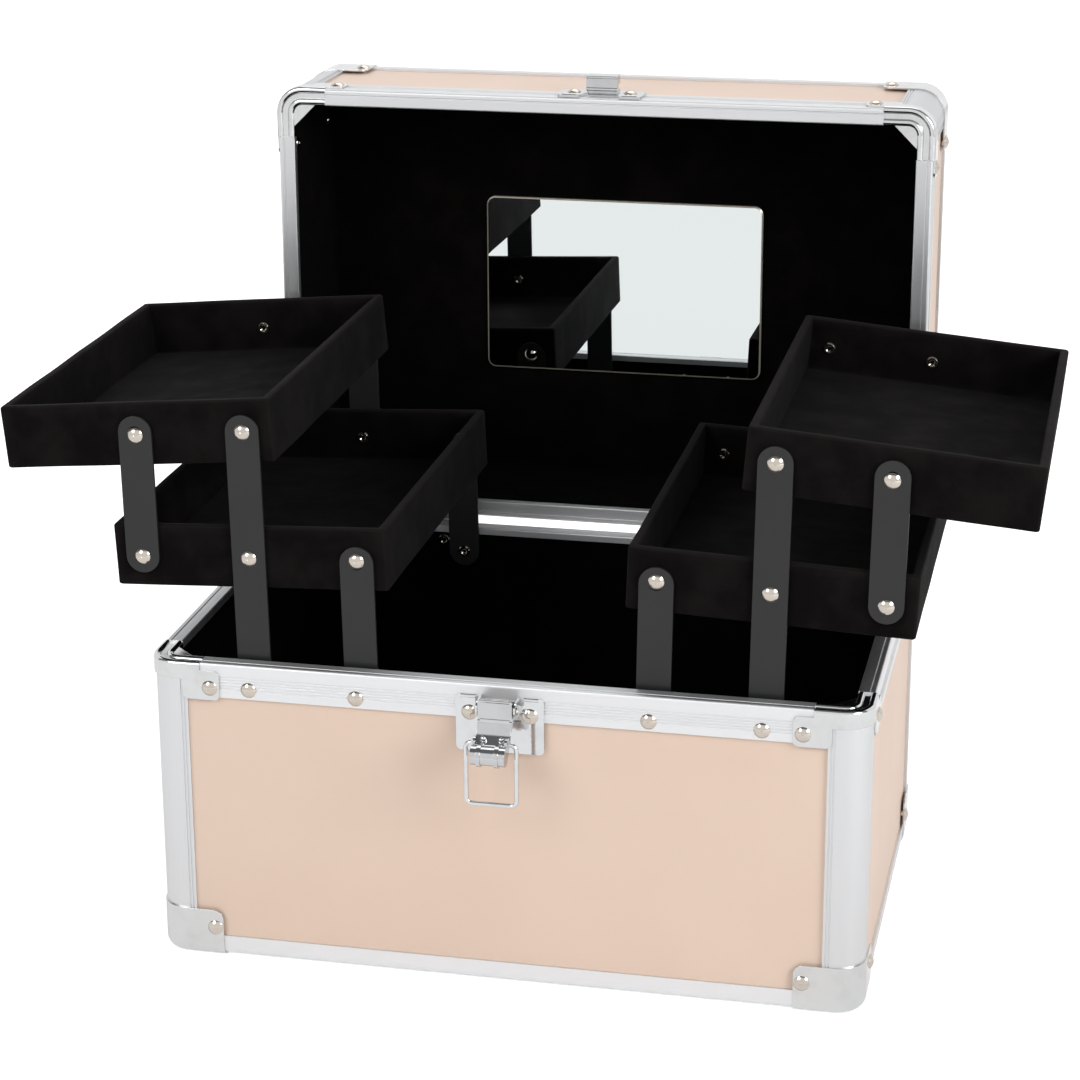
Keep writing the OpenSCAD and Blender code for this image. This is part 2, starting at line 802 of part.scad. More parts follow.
module hinge_lid_leaves() color(satin) {
    middle_l = hinge_w - 2 * (knuckle_end_l + slide_gap);
    swing_open() translate([0, 0, 2 * hinge_z]) mirror([0, 0, 1])
        at_hinges() hinge_leaf([[-middle_l / 2, middle_l / 2]]);
    at_hinges() stop_tab();
}

// Lid

// The lid's hinge holes in the lid's own upside down frame
module lid_hinge_shift() {
    translate([0, 0, lid_h + lid_bottom - 2 * hinge_z]) children();
}

module lid_top_panel() color(laminate) in_lid() difference() {
    floor_board();
    handle_holes();
}

module lid_front_panel() color(laminate) in_lid() difference() {
    front_board(lid_h, lid_rivet_drop);
    strike_holes();
}

module lid_back_panel() color(laminate) in_lid() difference() {
    mirror([0, 1, 0]) front_board(lid_h, lid_rivet_drop);
    lid_hinge_shift() hinge_holes();
}

module lid_left_panel() color(laminate) in_lid() left_board(lid_h, lid_rivet_drop);

module lid_right_panel() color(laminate) in_lid() mirror([1, 0, 0]) left_board(lid_h, lid_rivet_drop);

module lid_lining() color(velvet) in_lid() difference() {
    shell_lining(lid_h, lid_rivet_drop);
    strike_holes();
    lid_hinge_shift() hinge_holes();
    // room for the rolled ends of the handle's rivets, behind the mirror
    at_handle_rivets() translate([0, 0, floor_top - 1]) cylinder(r = shank_r + 1.8, h = lining_t + 2);
}

module lid_corner_posts() color(satin) in_lid() shell_posts(lid_h);

module lid_edge_rails() color(satin) in_lid() shell_edge_rails();

module lid_rim_rails() color(satin) in_lid() difference() {
    shell_rim_rails(lid_h, lid_rivet_drop);
    strike_holes();
    lid_hinge_shift() hinge_holes();
}

module lid_rim_corners() color(polished) in_lid() shell_rim_corners(lid_h, lid_rivet_drop);

module lid_corner_caps() color(polished) in_lid() at_corners() corner_cap();

strike_rivet_x = 15.5;
strike_drop = 11;
strike_w = 46;
strike_t = 1.5;

module strike_holes() on_sides() translate([-strike_rivet_x, 0, lid_h - strike_drop]) wall_hole();

module lid_rivets() color(nickel) in_lid() {
    shell_rivets(lid_h, lid_rivet_drop);
    on_sides() translate([-strike_rivet_x, 0, lid_h - strike_drop]) wall_rivet(strike_t, wall_t);
    lid_hinge_shift() hinge_rivets();
    at_handle_rivets() {
        translate([0, 0, cap_t - bracket_t]) rotate([180, 0, 0]) rivet(bracket_t + sheet_t + board_t);
        translate([0, 0, floor_top]) rotate([180, 0, 0]) ring_end();
    }
}

// Strike: a plate with an opening, and above it a hook whose slot takes the bail's cross wire
module lid_strike() color(polished) in_lid() {
    edge = lid_h - 0.3;
    rise = 19;
    hook_w = 17;
    hook_h = 10.7;
    nose_h = 2.5;
    slot_w = 2 * wire_r + 0.5;
    slot_at = strike_t + 1.6;
    seat = lid_h - 14;
    nose = seat + 5;
    opening = edge - seat - 2.5;
    difference() {
        translate([-strike_w / 2, -half_d, edge - rise]) rotate([90, 0, 0])
            linear_extrude(strike_t) difference() {
                rounded(strike_w, rise, 2.5);
                translate([strike_w / 2, rise - opening])
                    polygon([[-7.5, 0], [7.5, 0], [11.5, opening + 1], [-11.5, opening + 1]]);
            }
        strike_holes();
    }
    // hem along the front of each ear
    on_sides() translate([12.5, -half_d - strike_t + 0.4, edge - hem_r]) rotate([0, 90, 0])
        cylinder(r = hem_r, h = strike_w / 2 - 15);
    across_latch(0, hook_w) {
        difference() {
            union() {
                translate([strike_t / 2, seat - 4]) square([hook_h - strike_t / 2, 6.5]);
                translate([nose_h, seat]) square([hook_h - nose_h, nose - seat]);
            }
            translate([slot_at, seat - 10]) square([slot_w, 10]);
            translate([slot_at + slot_w / 2, seat]) circle(slot_w / 2);
        }
        // rolled edges of the nose
        translate([nose_h + 1, nose - 0.6]) circle(1.1);
        translate([hook_h - 0.8, nose - 0.6]) circle(0.9);
    }
}

module mirror_glass() color([0.9, 0.93, 0.95]) in_lid()
    translate([-mirror_w / 2, mirror_shift - mirror_h / 2, floor_top + lining_t])
        linear_extrude(mirror_t) rounded(mirror_w, mirror_h, mirror_r);

// Handle on the lid's top, hanging straight down while the lid is open

bracket_w = 24;
bracket_d = 26;
bracket_t = 1.5;
bracket_rivet_y = 8.5;
bushing_l = 8;

module at_brackets() {
    for (side = [0, 1]) mirror([side, 0, 0]) translate([handle_span / 2, 0, 0]) children();
}

module at_handle_rivets() at_brackets() for (y = [-bracket_rivet_y, bracket_rivet_y])
    translate([bushing_l / 2, y, 0]) children();

module bracket_holes() {
    for (y = [-bracket_rivet_y, bracket_rivet_y])
        translate([bushing_l / 2, y, -bracket_t]) cylinder(r = hole_r, h = 2 * wall_t);
}

module handle_holes() at_brackets() bracket_holes();

// Plate and pivot housing, drawn on the closed end of the lid's shell
module handle_brackets() color(polished) in_lid() at_brackets() {
    difference() {
        union() {
            translate([bushing_l / 2 - bracket_w / 2, -bracket_d / 2, cap_t - bracket_t])
                linear_extrude(bracket_t) rounded(bracket_w, bracket_d, 3);
            translate([0, 0, cap_t - handle_rise]) rotate([0, 90, 0]) cylinder(r = 5, h = bushing_l);
            translate([0, -3.6, cap_t - handle_rise]) cube([bushing_l, 7.2, handle_rise - bracket_t / 2]);
        }
        bracket_holes();
        translate([-1, 0, cap_t - handle_rise]) rotate([0, 90, 0])
            cylinder(r = rod_r + run_fit, h = bushing_l - 1);
    }
    // packing between the plate and the sunk board
    difference() {
        translate([bushing_l / 2 - bracket_w / 2 + 2, 2 - bracket_d / 2, cap_t])
            cube([bracket_w - 4, bracket_d - 4, sheet_t]);
        bracket_holes();
    }
}

// Puts the handle on its pivots, turned so that it hangs plumb
module on_handle_pivots() in_lid() translate([0, 0, cap_t - handle_rise])
    rotate([90 - lid_open, 0, 0]) children();

module handle_rod() color(polished) on_handle_pivots() {
    bend = 12;
    leg_x = handle_span / 2 - rod_r - 1;
    at_brackets() translate([bushing_l - 2.5, 0, 0]) rotate([0, -90, 0])
        cylinder(r = rod_r, h = bushing_l - 2.5 + 1 + rod_r);
    on_sides() {
        translate([leg_x, 0, 0]) sphere(rod_r);
        translate([leg_x, 0, 0]) rotate([-90, 0, 0]) cylinder(r = rod_r, h = handle_reach - bend);
        translate([leg_x - bend, handle_reach - bend, 0]) rotate_extrude(angle = 90)
            translate([bend, 0]) circle(rod_r);
    }
    translate([bend - leg_x, handle_reach, 0]) rotate([0, 90, 0]) cylinder(r = rod_r, h = 2 * (leg_x - bend));
}

module handle_grip() color(arm_black) on_handle_pivots() translate([0, handle_reach, 0]) rotate([0, 90, 0])
    rotate_extrude() difference() {
        union() {
            intersection() {
                translate([grip_r - 4 * grip_l, 0]) circle(4 * grip_l, $fn = 360);
                translate([0, 2 - grip_l / 2]) square([grip_r + 1, grip_l - 4]);
            }
            translate([0, -grip_l / 2]) square([grip_r - 3, grip_l]);
        }
        translate([0, -grip_l]) square([rod_r, 2 * grip_l]);
        translate([-2 * grip_r, -grip_l]) square([2 * grip_r, 2 * grip_l]);
    }

// Trays and their arms. All are drawn for the right side and mirrored for the left.

// A strap with round ends, seen from the front, its foot at the origin
module strap(length, holes) {
    difference() {
        union() {
            translate([-arm_w / 2, 0]) square([arm_w, length]);
            circle(arm_w / 2);
            translate([0, length]) circle(arm_w / 2);
        }
        for (h = holes) translate([0, h[0]]) circle(h[1]);
    }
}

// Stands a flat outline up in front of the trays and behind them, leaning like the open arms
module arm_pair(foot) {
    front_and_back() translate([foot[0], arm_face + arm_t - half_d, foot[1]]) rotate([0, open_lean, 0])
        rotate([90, 0, 0]) linear_extrude(arm_t) children();
}

module long_arms() arm_pair([arm_x, arm_z]) strap(2 * arm_l, [[0, hole_r], [arm_l, hole_r], [2 * arm_l, hole_r]]);

module lower_links() arm_pair([link_x, arm_z]) strap(lower_link_l, [[0, hole_r], [lower_link_l, play_r]]);

module upper_links() arm_pair(link_foot_at) strap(upper_link_l, [[0, hole_r], [upper_link_l, play_r]]);

// Places a tray by its pivot, shift along the tray from its middle, drooping outwards
module place_tray(pivot, droop, shift) {
    translate([pivot[0], 0, pivot[1]]) rotate([0, droop, 0]) translate([shift, 0, 0]) children();
}

// Floor and four walls, each a board of its own, glued together
module tray(rivets) {
    half = tray_h / 2;
    wall_z = tray_floor + glue_t - half;
    wall_h = tray_h - tray_floor - glue_t;
    translate([-tray_w / 2, -tray_d / 2, -half]) cube([tray_w, tray_d, tray_floor]);
    front_and_back() difference() {
        translate([-tray_w / 2, -tray_d / 2, wall_z]) cube([tray_w, tray_wall, wall_h]);
        for (x = rivets) translate([x, 0, 0]) rotate([90, 0, 0]) cylinder(r = hole_r, h = tray_d);
    }
    on_sides() translate([-tray_w / 2, tray_wall + glue_t - tray_d / 2, wall_z])
        cube([tray_wall, tray_d - 2 * (tray_wall + glue_t), wall_h]);
}

// Rivets through the arms and the tray's walls
module tray_rivets(rivets) {
    head_face = tray_d / 2 + arm_t + 1.5 * slide_gap;
    front_and_back() for (x = rivets) translate([x, 0, 0]) {
        translate([0, -head_face, 0]) rotate([90, 0, 0]) rivet(head_face - tray_d / 2 + tray_wall);
        translate([0, tray_wall - tray_d / 2, 0]) rotate([90, 0, 0]) ring_end();
    }
}

module place_lower_tray() place_tray(lower_tray_at, lower_droop, 0) children();

module place_upper_tray() place_tray(upper_pivot_at, upper_droop, tray_pitch) children();

module left_side() mirror([1, 0, 0]) children();

module long_arms_left() color(arm_black) left_side() long_arms();
module long_arms_right() color(arm_black) long_arms();
module lower_links_left() color(arm_black) left_side() lower_links();
module lower_links_right() color(arm_black) lower_links();
module upper_links_left() color(arm_black) left_side() upper_links();
module upper_links_right() color(arm_black) upper_links();
module lower_tray_left() color(velvet) left_side() place_lower_tray() tray(lower_rivets);
module lower_tray_right() color(velvet) place_lower_tray() tray(lower_rivets);
module upper_tray_left() color(velvet) left_side() place_upper_tray() tray(upper_rivets);
module upper_tray_right() color(velvet) place_upper_tray() tray(upper_rivets);
module lower_tray_rivets_left() color(nickel) left_side() place_lower_tray() tray_rivets(lower_rivets);
module lower_tray_rivets_right() color(nickel) place_lower_tray() tray_rivets(lower_rivets);
module upper_tray_rivets_left() color(nickel) left_side() place_upper_tray() tray_rivets(upper_rivets);
module upper_tray_rivets_right() color(nickel) place_upper_tray() tray_rivets(upper_rivets);

base_bottom_panel();
base_front_panel();
base_back_panel();
base_left_panel();
base_right_panel();
base_lining();
base_corner_posts();
base_edge_rails();
base_rim_rails();
base_rim_corners();
base_corner_caps();
base_rivets();
rim_pivot_rivets();
latch_plate();
latch_rivets();
latch_pin();
latch_lever();
latch_bail();
hinge_base_leaves();
hinge_pins();
hinge_lid_leaves();
lid_top_panel();
lid_front_panel();
lid_back_panel();
lid_left_panel();
lid_right_panel();
lid_lining();
lid_corner_posts();
lid_edge_rails();
lid_rim_rails();
lid_rim_corners();
lid_corner_caps();
lid_rivets();
lid_strike();
mirror_glass();
handle_brackets();
handle_rod();
handle_grip();
long_arms_left();
long_arms_right();
lower_links_left();
lower_links_right();
upper_links_left();
upper_links_right();
lower_tray_left();
lower_tray_right();
upper_tray_left();
upper_tray_right();
lower_tray_rivets_left();
lower_tray_rivets_right();
upper_tray_rivets_left();
upper_tray_rivets_right();
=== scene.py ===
# %% [markdown]
# # The looks of a vanity box
# The object is a make-up box: laminated boards in an aluminium frame, a lid with a mirror, and
# four velvet trays on swinging arms. Its construction comes ready made, as a fixed frame of
# named nodes. This script gives every node a finish, and models the soft and the glass pieces
# anew, because cloth and ground glass need shapes that a plain construction model leaves out.

import math

import bpy
import numpy as np
from mathutils import Matrix, Vector


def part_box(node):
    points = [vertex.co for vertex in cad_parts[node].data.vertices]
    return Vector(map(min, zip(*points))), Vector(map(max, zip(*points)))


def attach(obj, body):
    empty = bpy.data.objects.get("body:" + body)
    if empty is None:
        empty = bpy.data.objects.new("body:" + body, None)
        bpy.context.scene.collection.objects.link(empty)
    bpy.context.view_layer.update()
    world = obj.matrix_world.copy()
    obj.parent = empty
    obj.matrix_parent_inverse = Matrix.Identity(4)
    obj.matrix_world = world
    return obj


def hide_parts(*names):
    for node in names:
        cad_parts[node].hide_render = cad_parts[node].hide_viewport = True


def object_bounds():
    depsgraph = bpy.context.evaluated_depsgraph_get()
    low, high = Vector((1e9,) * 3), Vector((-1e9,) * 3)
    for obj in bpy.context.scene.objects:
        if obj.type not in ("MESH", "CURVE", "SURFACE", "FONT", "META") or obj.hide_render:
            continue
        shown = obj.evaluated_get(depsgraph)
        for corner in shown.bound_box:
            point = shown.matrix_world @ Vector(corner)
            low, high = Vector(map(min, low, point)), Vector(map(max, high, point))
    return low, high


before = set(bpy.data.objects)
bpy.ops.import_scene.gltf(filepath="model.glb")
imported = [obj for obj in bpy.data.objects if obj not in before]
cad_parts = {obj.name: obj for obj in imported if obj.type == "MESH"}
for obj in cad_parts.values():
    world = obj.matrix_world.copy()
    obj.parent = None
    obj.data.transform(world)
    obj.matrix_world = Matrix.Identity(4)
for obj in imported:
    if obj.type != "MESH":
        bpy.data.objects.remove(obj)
cad_box = [list(corner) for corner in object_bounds()]
MM = 0.001

# %% [markdown]
# ## Camera
# The photograph was taken with a long lens from the front and a little from the right, looking
# down. The distances below come from matching some forty rivets and edges of the box, so the
# view is written as a place, three angles and a focal length. A small lens shift stands for
# the way that the photograph was cropped.

# %% Place the camera
CAMERA_PLACE = Vector((300.2, -1399.4, 685.7)) * MM
CAMERA_YAW = math.radians(-12.37)
CAMERA_PITCH = math.radians(18.28)
CAMERA_ROLL = math.radians(-0.30)
PICTURE_SIDE = 1080
FOCAL_PIXELS = 2911.4
AXIS_PIXEL = (538.6, 507.8)
SENSOR = 36.0


def camera_axes():
    """The camera's right, up and forward directions.

    Forward is turned by the yaw from +Y towards +X and dips by the pitch. Right is level and
    square to it, and both right and up are then turned about it by the roll.
    """
    flat = Vector((math.sin(CAMERA_YAW), math.cos(CAMERA_YAW), 0))
    forward = flat * math.cos(CAMERA_PITCH) - Vector((0, 0, math.sin(CAMERA_PITCH)))
    right = Vector((math.cos(CAMERA_YAW), -math.sin(CAMERA_YAW), 0))
    up = right.cross(forward)
    c, s = math.cos(CAMERA_ROLL), math.sin(CAMERA_ROLL)
    return right * c + up * s, up * c - right * s, forward


def make_camera():
    data = bpy.data.cameras.new("photo_camera")
    data.sensor_width = SENSOR
    data.lens = FOCAL_PIXELS / PICTURE_SIDE * SENSOR
    data.shift_x = 0.5 - AXIS_PIXEL[0] / PICTURE_SIDE
    data.shift_y = AXIS_PIXEL[1] / PICTURE_SIDE - 0.5
    camera = bpy.data.objects.new("photo_camera", data)
    bpy.context.scene.collection.objects.link(camera)
    right, up, forward = camera_axes()
    camera.matrix_world = Matrix((right, up, -forward)).transposed().to_4x4()
    camera.location = CAMERA_PLACE
    bpy.context.scene.camera = camera
    print("lens", round(data.lens, 1), "mm, shift", round(data.shift_x, 3), round(data.shift_y, 3))


make_camera()

# %% [markdown]
# ## Shader graphs as expressions
# A finish is a small calculation at every point of a surface. Written out as nodes and links
# it is hard to read, so a wire, which is one output of a node, gets Python's own operators:
# `1 - mask * 0.3` adds the two Math nodes it needs. Every other kind of node comes from the one
# method `node`, which takes its type, its settings and its sockets.

# %% Wires and graphs
MIX_FACTOR = 0
MIX_FIRST_COLOUR = 6
MIX_SECOND_COLOUR = 7
MIX_COLOUR_RESULT = 2


class Wire:
    """An output socket that can be used in expressions."""

    def __init__(self, graph, socket):
        self.graph = graph
        self.socket = socket

    def __add__(self, other):
        return self.graph.maths("ADD", self, other)

    def __radd__(self, other):
        return self.graph.maths("ADD", other, self)

    def __sub__(self, other):
        return self.graph.maths("SUBTRACT", self, other)

    def __rsub__(self, other):
        return self.graph.maths("SUBTRACT", other, self)

    def __mul__(self, other):
        return self.graph.maths("MULTIPLY", self, other)

    def __rmul__(self, other):
        return self.graph.maths("MULTIPLY", other, self)

    def __gt__(self, other):
        return self.graph.maths("GREATER_THAN", self, other)

    def __abs__(self):
        return self.graph.maths("ABSOLUTE", self)


class Graph:
    """A node tree that is filled by expressions."""

    def __init__(self, tree):
        self.tree = tree
        tree.nodes.clear()

    def node(self, kind, settings=None, sockets=None, output=0):
        """Adds a node, sets it up, fills its sockets and returns one of its outputs."""
        node = self.tree.nodes.new(kind)
        for name, value in (settings or {}).items():
            setattr(node, name, value)
        for key, value in (sockets or {}).items():
            self.put(node.inputs[key], value)
        return Wire(self, node.outputs[output]) if node.outputs else node

    def put(self, socket, value):
        """Gives a socket a wire, a number, or a colour of three numbers."""
        if isinstance(value, Wire):
            self.tree.links.new(value.socket, socket)
        elif socket.type == "RGBA":
            socket.default_value = (*value, 1)
        else:
            socket.default_value = value

    def maths(self, operation, *values):
        return self.node("ShaderNodeMath", {"operation": operation}, dict(enumerate(values)))

    def span(self, wire, low, high):
        """Spreads the part of a wire between low and high over 0 to 1, with soft ends."""
        return self.node("ShaderNodeMapRange", {"interpolation_type": "SMOOTHSTEP"},
                         {"Value": wire, "From Min": low, "From Max": high})

    def colour(self, factor, first, second):
        """Goes from the first colour to the second. Only the node's colour sockets are used."""
        return self.node("ShaderNodeMix", {"data_type": "RGBA"}, {
            MIX_FACTOR: factor, MIX_FIRST_COLOUR: first, MIX_SECOND_COLOUR: second}, MIX_COLOUR_RESULT)

    def place(self):
        """Object coordinates, in metres."""
        return self.node("ShaderNodeTexCoord", output="Object")

    def axes(self):
        """The three object coordinates as separate numbers."""
        split = self.node("ShaderNodeSeparateXYZ", sockets={0: self.place()})
        return [Wire(self, out) for out in split.socket.node.outputs]

    def noise(self, size, detail=2.0, rough=0.5, at=None):
        """Soft noise from 0 to 1 whose lumps are about size metres across."""
        return self.node("ShaderNodeTexNoise", sockets={
            "Vector": at or self.place(), "Scale": 1 / size, "Detail": detail, "Roughness": rough})


# %% Finishes
EDGE_SAMPLES = 6


class Finish(Graph):
    """A material with one Principled shader. Constants are set on the shader's own sockets."""

    def __init__(self, name, **constants):
        self.material = bpy.data.materials.new(name)
        self.material.use_nodes = True
        super().__init__(self.material.node_tree)
        self.shader = self.node("ShaderNodeBsdfPrincipled").socket.node
        self.node("ShaderNodeOutputMaterial", sockets={0: Wire(self, self.shader.outputs[0])})
        for name, value in constants.items():
            self.feed(name, value)

    def feed(self, name, value):
        """Fills the shader's socket of that name, written with underscores for spaces."""
        self.put(self.shader.inputs[name.replace("_", " ")], value)

    def bump(self, height, depth, soften=0.0):
        """Raises the surface by depth metres where height is 1, over edges rounded by soften."""
        sockets = {"Height": height, "Distance": depth, "Strength": 1.0}
        if soften:
            sockets["Normal"] = self.rounded_edges(soften)
        self.feed("Normal", self.node("ShaderNodeBump", sockets=sockets))

    def rounded_edges(self, radius):
        """A normal that turns over sharp edges as if they had that radius."""
        return self.node("ShaderNodeBevel", {"samples": EDGE_SAMPLES}, {"Radius": radius})


def dress(finish, *names):
    """Puts a finish on CAD nodes and counts what is left plain."""
    for name in names:
        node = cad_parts[name]
        for slot in node.material_slots:
            slot.material = finish.material
        undressed.discard(name)
    print(finish.material.name, "on", len(names), "nodes,", len(undressed), "still plain")


undressed = set(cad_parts)

# %% [markdown]
# ## Laminate
# The boards are faced with a pale rose laminate. It is a thin printed foil under a satin
# varnish: nearly one colour, with a very faint cloudiness, a powdery grain that only shows in
# a close view, and a gloss that wanders a little where hands have wiped it.

# %% Laminate finish
ROSE_DEEP = (0.735, 0.560, 0.455)
ROSE_PALE = (0.765, 0.590, 0.484)
CLOUD_SHARE = 0.75
SATIN = 0.40
WIPED_DULL = 0.14
GRAIN_DEPTH = 0.02 * MM


def make_laminate():
    """Foil whose tone is three parts cloud to one part grain, under a satin varnish."""
    finish = Finish("rose_laminate", IOR=1.46, Coat_Weight=0.06, Coat_Roughness=0.25)
    cloud = finish.noise(90 * MM)
    grain = finish.noise(0.7 * MM, 3, 0.6)
    ripple = finish.noise(2.5 * MM)
    wiped = finish.noise(35 * MM, 3, 0.6)
    tone = finish.span(cloud * CLOUD_SHARE + grain * (1 - CLOUD_SHARE), 0.3, 0.7)
    finish.feed("Base_Color", finish.colour(tone, ROSE_DEEP, ROSE_PALE))
    finish.feed("Roughness", SATIN + wiped * WIPED_DULL)
    finish.bump(grain + ripple * 0.8, GRAIN_DEPTH)
    return finish


BOARDS = ("bottom", "front", "back", "left", "right")
base_boards = [f"base_{side}_panel" for side in BOARDS]
lid_boards = [f"lid_{side}_panel" for side in ("top", *BOARDS[1:])]
dress(make_laminate(), *base_boards, *lid_boards)

# %% [markdown]
# ## Aluminium profiles
# The posts and rails are extruded and anodised. The die leaves very fine lines along each
# length, which stretch the reflections into soft bands. The lines are noise whose coordinates
# are squeezed along the length. Front and side rails share one node and run different ways,
# so a mask on the distance from the middle picks the direction. The side rails also shine
# more, because their lines run away from the viewer and blur little of what lies ahead.

# %% Aluminium finish
HALF_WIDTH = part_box("base_edge_rails")[1].x
SIDE_RAILS_FROM = HALF_WIDTH - 15 * MM
LINES_ACROSS = 900.0
LINES_ALONG = 5.0
LINE_DEPTH = 0.006 * MM
DRAWN_DULL = 0.38
LINE_DULL = 0.12
HAND_DULL = 0.10
SIDE_SHINE = 0.14


def at_sides(finish):
    """1 within a rail's width of the two sides, else 0."""
    return abs(finish.axes()[0]) > SIDE_RAILS_FROM


def lines(finish, run, side_run):
    """Fine lines along the axis run, or along side_run near the two sides."""
    at_side = at_sides(finish)
    stretched = []
    for axis, position in enumerate(finish.axes()):
        middle = LINES_ALONG if axis == run else LINES_ACROSS
        side = LINES_ALONG if axis == side_run else LINES_ACROSS
        rate = middle if middle == side else at_side * (side - middle) + middle
        stretched.append(position * rate)
    at = finish.node("ShaderNodeCombineXYZ", sockets=dict(enumerate(stretched)))
    return finish.noise(1, 3, 0.6, at)


def make_aluminium(name, run, side_run, pale):
    """Drawn metal: pale is how pale it is painted, a little less and bluer between lines; set part by
    part, it also carries painted light and shade.
    """
    finish = Finish(name, Metallic=0.94)
    drawn = lines(finish, run, side_run)
    handled = finish.noise(30 * MM, 3, 0.6)
    between = (0.94 * pale, 0.955 * pale, 0.98 * pale)
    crest = (pale, pale, 1.01 * pale)
    finish.feed("Base_Color", finish.colour(drawn, between, crest))
    dull = DRAWN_DULL + drawn * LINE_DULL + handled * HAND_DULL
    finish.feed("Roughness", dull - at_sides(finish) * SIDE_SHINE)
    finish.bump(drawn, LINE_DEPTH, soften=0.25 * MM)
    return finish


X, Y, Z = range(3)
# The four copies differ only in pale: paler on the base's rails, darker on the posts and on the lid. That
# is painted light and shade, one copy of the same metal for each part.
dress(make_aluminium("post_aluminium", Z, Z, 0.70), "base_corner_posts")
dress(make_aluminium("rail_aluminium", X, Y, 0.78), "base_edge_rails", "base_rim_rails")
dress(make_aluminium("lid_post_aluminium", Y, Y, 0.62), "lid_corner_posts")
dress(make_aluminium("lid_rail_aluminium", X, Z, 0.71), "lid_edge_rails", "lid_rim_rails")

# %% [markdown]
# ## Plated steel
# The corner fittings are pressed from sheet and nickel plated to a soft shine. The latch and
# the strike are chromed and nearly mirror bright, and the rivets are a warmer nickel. All of
# them are one recipe: a metal with its own tint, smudges that dull the shine in patches, and
# the faint orange peel that plating leaves. The lever and the strike get a darker copy of the
# latch's chrome, which paints in the dark reflections and shade they show.

# %% Plated finishes
SMUDGE_DIM = 0.93
PEEL_DEPTH = 0.008 * MM


def make_plating(name, tint, shine, smudge, edge):
    """Plated metal: shine is the roughness where it is clean, smudge what a touch adds."""
    finish = Finish(name, Metallic=1.0)
    touched = finish.span(finish.noise(12 * MM, 4, 0.65), 0.42, 0.72)
    dim = tuple(SMUDGE_DIM * part for part in tint)
    finish.feed("Base_Color", finish.colour(touched, tint, dim))
    finish.feed("Roughness", shine + touched * smudge)
    peel = finish.noise(1.6 * MM) + finish.noise(9 * MM, 1) * 2
    finish.bump(peel, PEEL_DEPTH, soften=edge)
    return finish


corner_steel = make_plating("corner_steel", (0.66, 0.665, 0.67), shine=0.10, smudge=0.08, edge=0.3 * MM)
latch_chrome = make_plating("latch_chrome", (0.68, 0.69, 0.70), shine=0.04, smudge=0.05, edge=0.25 * MM)
# A darker copy of the latch chrome: painted shade and dark reflections on the lever and strike.
lever_chrome_painted_shade = make_plating("lever_chrome_painted_shade", (0.56, 0.57, 0.58), shine=0.03, smudge=0.04, edge=0.2 * MM)
rivet_nickel = make_plating("rivet_nickel", (0.60, 0.545, 0.485), shine=0.09, smudge=0.07, edge=0.1 * MM)
hinge_zinc = make_plating("hinge_zinc", (0.60, 0.61, 0.63), shine=0.26, smudge=0.12, edge=0.2 * MM)

SIDES = ("left", "right")
tray_rivets = [f"{level}_tray_rivets_{side}" for level in ("lower", "upper") for side in SIDES]
dress(corner_steel, "base_rim_corners", "base_corner_caps", "lid_rim_corners", "lid_corner_caps")
dress(latch_chrome, "latch_plate", "latch_bail", "handle_brackets", "handle_rod")
dress(lever_chrome_painted_shade, "latch_lever", "lid_strike")
dress(rivet_nickel, "base_rivets", "rim_pivot_rivets", "latch_rivets", "latch_pin", "lid_rivets",
      "hinge_pins", *tray_rivets)
dress(hinge_zinc, "hinge_base_leaves", "hinge_lid_leaves")

# %% [markdown]
# ## Painted arms and moulded grip
# The arms are steel straps under a black stoving paint with a fine, slightly pebbled skin. The
# grip of the handle is moulded in black plastic, whose tool was etched with a coarser grain.
# Both reflect about as much light as they scatter, so their colour is kept very dark.

# %% Black finishes
WORN_DULL = 0.12


def make_black(name, dark, pale, shine, grain_size, grain_depth, edge):
    """A black skin that is paler and duller where it is worn, over a grain of its own size."""
    finish = Finish(name, IOR=1.45, Specular_IOR_Level=0.42)
    worn = finish.noise(20 * MM, 4, 0.6)
    grain = finish.noise(grain_size, 3, 0.55)
    finish.feed("Base_Color", finish.colour(worn, dark, pale))
    finish.feed("Roughness", shine + worn * WORN_DULL)
    finish.bump(grain, grain_depth, soften=edge)
    return finish


arm_paint = make_black("arm_paint", (0.014, 0.014, 0.015), (0.020, 0.020, 0.021), shine=0.36,
                       grain_size=0.6 * MM, grain_depth=0.012 * MM, edge=0.3 * MM)
grip_plastic = make_black("grip_plastic", (0.010, 0.010, 0.010), (0.015, 0.015, 0.015), shine=0.42,
                          grain_size=1.2 * MM, grain_depth=0.05 * MM, edge=0.4 * MM)
arms = [f"{arm}_{side}" for arm in ("long_arms", "lower_links", "upper_links") for side in SIDES]
dress(arm_paint, *arms)
dress(grip_plastic, "handle_grip")

# %% [markdown]
# ## Velvet
# Trays and linings are covered in a short black velvet. Light that grazes its pile comes back,
# which the shader's sheen does, and the pile lies this way and that in patches. Along folded
# edges the cloth is stretched and rubbed and shows a little paler: the modelled pieces carry an
# attribute named rub, from 0 to 1, that says where. The linings get a much darker copy of the
# velvet with less sheen, which is painted shade for the deep inside of the case.

# %% Velvet finish
NAP_SHARE = 0.45
PILE_SHARE = 0.35
VELVET_DULL = 0.95
NAP_SHINE = 0.12
PILE_DEPTH = 0.10 * MM


